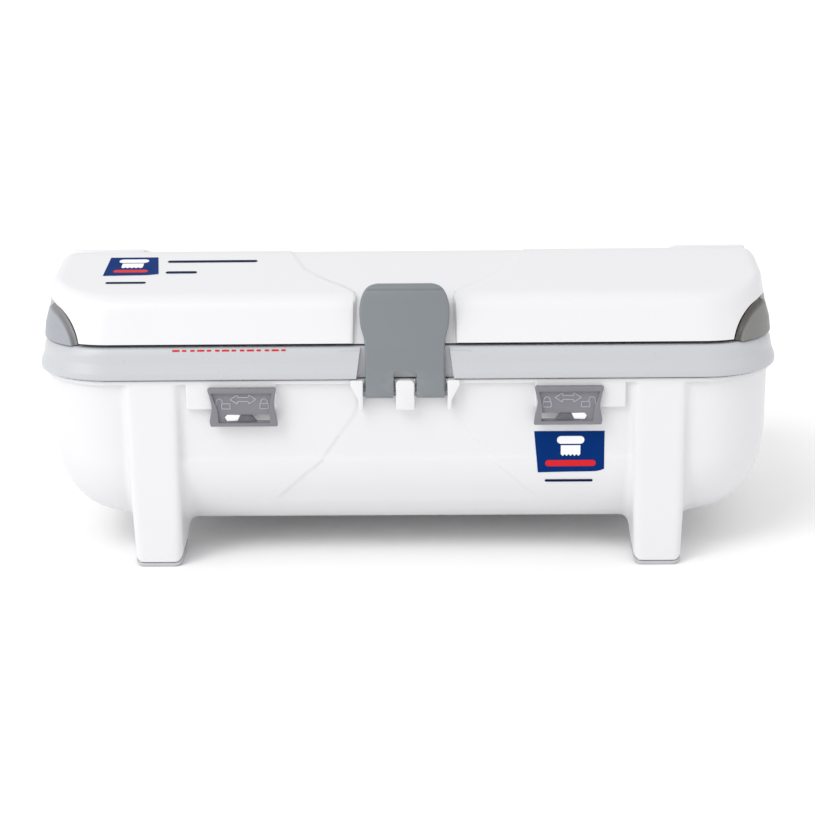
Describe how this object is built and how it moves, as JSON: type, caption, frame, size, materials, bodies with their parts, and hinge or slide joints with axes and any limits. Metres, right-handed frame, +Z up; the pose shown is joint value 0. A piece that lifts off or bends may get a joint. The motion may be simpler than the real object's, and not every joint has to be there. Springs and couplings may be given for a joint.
{
  "type": "cling film dispenser",
  "caption": "Counter-top dispenser for a roll of cling film or foil: a tub on legs, a hinged cutter frame, a hinged lid, a centre clip and sliding latches.",
  "frame": {"origin": "centre of the object's box in plan, on the surface that the feet stand on", "axes": "+Z up, +X to the object's right seen from the front, -Y towards the front, where the clip and latches are"},
  "size_m": [0.42, 0.2162, 0.1665],
  "materials": {
    "white_plastic": "satin moulded, fine grain",
    "light_grey_plastic": "satin moulded",
    "mid_grey_plastic": "fine grain",
    "pad_grey_plastic": "fine grain",
    "foot_rubber": "matt",
    "strip_rubber": "matt",
    "roller_plastic": "turned",
    "steel": "brushed"
  },
  "bodies": {
    "base": {"base_tub": "white_plastic", "foot_pad_front_left": "foot_rubber", "foot_pad_front_right": "foot_rubber", "foot_pad_rear_left": "foot_rubber", "foot_pad_rear_right": "foot_rubber", "frame_hinge_pin_left": "steel", "frame_hinge_pin_right": "steel", "cradle_bracket_left": "light_grey_plastic", "cradle_bracket_right": "light_grey_plastic", "cradle_screw_left": "steel", "cradle_screw_right": "steel", "cradle_axle_front": "steel", "cradle_axle_rear": "steel"},
    "cradle_front": {"cradle_roller_front": "roller_plastic"},
    "cradle_rear": {"cradle_roller_rear": "roller_plastic"},
    "latch_left": {"latch_slider_left": "mid_grey_plastic", "latch_bolt_left": "light_grey_plastic"},
    "latch_right": {"latch_slider_right": "mid_grey_plastic", "latch_bolt_right": "light_grey_plastic"},
    "clip": {"center_clip": "mid_grey_plastic"},
    "frame": {"insert_frame": "light_grey_plastic", "corner_pad_left": "pad_grey_plastic", "corner_pad_right": "pad_grey_plastic", "blade_holder": "light_grey_plastic", "blade": "steel", "feed_bracket_left": "light_grey_plastic", "feed_bracket_right": "light_grey_plastic", "feed_screw_left": "steel", "feed_screw_right": "steel", "feed_axle": "steel", "grip_strip_left": "strip_rubber", "grip_strip_right": "strip_rubber", "guard_spring_left": "steel", "guard_spring_right": "steel", "lid_hinge_pin_left": "steel", "lid_hinge_pin_right": "steel"},
    "guard": {"blade_guard": "light_grey_plastic"},
    "feed": {"feed_roller": "roller_plastic"},
    "lid": {"lid_shell": "white_plastic", "lid_press_bar": "white_plastic", "lid_press_pad": "strip_rubber"}
  },
  "joints": [
    {"name": "frame_hinge", "type": "hinge", "parent": "base", "child": "frame", "pos_m": [0, 0.1053, 0.1073], "axis": [-1, 0, 0], "range_deg": [0, 95]},
    {"name": "lid_hinge", "type": "hinge", "parent": "frame", "child": "lid", "pos_m": [0, 0.102, 0.1313], "axis": [-1, 0, 0], "range_deg": [0, 80]},
    {"name": "clip_hinge", "type": "hinge", "parent": "base", "child": "clip", "pos_m": [0, -0.1054, 0.1023], "axis": [1, 0, 0], "range_deg": [0, 100]},
    {"name": "latch_left_slide", "type": "slide", "parent": "base", "child": "latch_left", "axis": [-1, 0, 0], "range_m": [0, 0.012]},
    {"name": "latch_right_slide", "type": "slide", "parent": "base", "child": "latch_right", "axis": [1, 0, 0], "range_m": [0, 0.012]},
    {"name": "guard_press", "type": "slide", "parent": "frame", "child": "guard", "axis": [0, 0, -1], "range_m": [0, 0.004], "stiffness_N_per_m": 600, "springref_m": -0.003, "deforming": ["guard_spring_left", "guard_spring_right"]},
    {"name": "feed_spin", "type": "hinge", "parent": "frame", "child": "feed", "pos_m": [0, -0.062, 0.1285], "axis": [1, 0, 0], "continuous": true},
    {"name": "cradle_front_spin", "type": "hinge", "parent": "base", "child": "cradle_front", "pos_m": [0, -0.025, 0.033], "axis": [1, 0, 0], "continuous": true},
    {"name": "cradle_rear_spin", "type": "hinge", "parent": "base", "child": "cradle_rear", "pos_m": [0, 0.025, 0.033], "axis": [1, 0, 0], "continuous": true}
  ]
}
